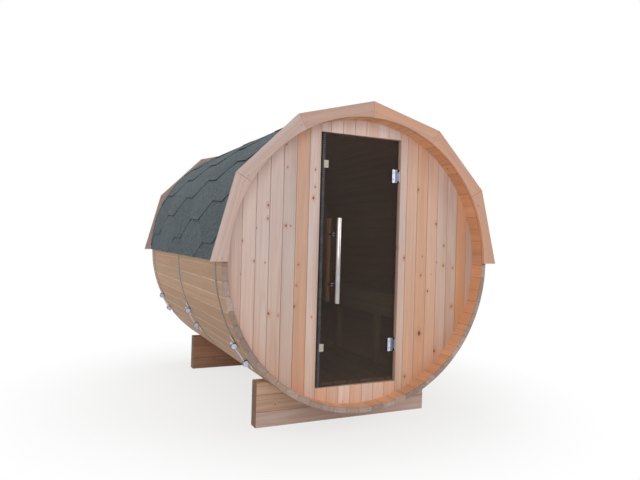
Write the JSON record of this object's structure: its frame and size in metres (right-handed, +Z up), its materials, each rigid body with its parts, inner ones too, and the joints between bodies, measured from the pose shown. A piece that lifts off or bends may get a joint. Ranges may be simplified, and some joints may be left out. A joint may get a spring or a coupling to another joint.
{
  "type": "barrel sauna",
  "caption": "Round barrel-shaped wooden sauna cabin lying on cradles, with steel bands, a shingled upper half and a smoked glass door.",
  "frame": {"origin": "on the ground under the middle of the barrel", "axes": "+Z up; +Y along the barrel, away from the door; +X to the right of someone who faces the door"},
  "size_m": [2.058, 2.47, 2.099],
  "materials": {
    "stave_wood": "planed softwood staves, natural, slightly aged outside",
    "wall_wood": "planed softwood boards, upright grain, small knots",
    "fascia_wood": "planed softwood board",
    "cradle_wood": "planed softwood, laminated boards",
    "inside_wood": "planed light hardwood boards inside",
    "shingle": "grey-green mineral granules on bitumen",
    "band_steel": "zinc-coated strip, dull",
    "zinc_steel": "bright zinc plate",
    "smoked_glass": "smoked tempered glass",
    "chrome_hinge": "polished",
    "seal_plastic": "grey translucent ribbed strip",
    "catch_steel": "satin",
    "catch_black": "black",
    "handle_steel": "brushed along the bar",
    "handle_wood": "oiled round wooden bar"
  },
  "bodies": {
    "sauna": {"back_wall": "wall_wood", "band_front": "band_steel", "band_middle": "band_steel", "band_rear": "band_steel", "band_tensioners": "zinc_steel", "bench_apron": "inside_wood", "bench_bearers": "inside_wood", "bench_legs": "inside_wood", "bench_seat": "inside_wood", "cradle_front": "cradle_wood", "cradle_rear": "cradle_wood", "floor_bearers": "inside_wood", "floor_boards": "inside_wood", "front_fascia_left": "fascia_wood", "front_fascia_right": "fascia_wood", "front_wall_left": "wall_wood", "front_wall_right": "wall_wood", "front_wall_sill": "wall_wood", "front_wall_top": "wall_wood", "hinge_wall_plates": "chrome_hinge", "jamb_catches": "catch_black", "rear_fascia_left": "fascia_wood", "rear_fascia_right": "fascia_wood", "roof_left_1": "shingle", "roof_left_2": "shingle", "roof_left_3": "shingle", "roof_right_1": "shingle", "roof_right_2": "shingle", "roof_right_3": "shingle", "staves_01": "stave_wood", "staves_02": "stave_wood", "staves_03": "stave_wood", "staves_04": "stave_wood", "staves_05": "stave_wood", "staves_06": "stave_wood", "staves_07": "stave_wood", "staves_08": "stave_wood", "staves_09": "stave_wood", "staves_10": "stave_wood"},
    "door": {"door_glass": "smoked_glass", "hinge_clamps": "chrome_hinge", "door_seal": "seal_plastic", "catch_plates": "catch_steel", "handle_outer": "handle_steel", "handle_inner": "handle_wood", "handle_bolts": "handle_steel"}
  },
  "joints": [
    {"name": "door_hinge", "type": "hinge", "parent": "sauna", "child": "door", "pos_m": [0.2735, -1.083, 1.07], "axis": [0, 0, 1], "range_deg": [-3, 87]}
  ]
}
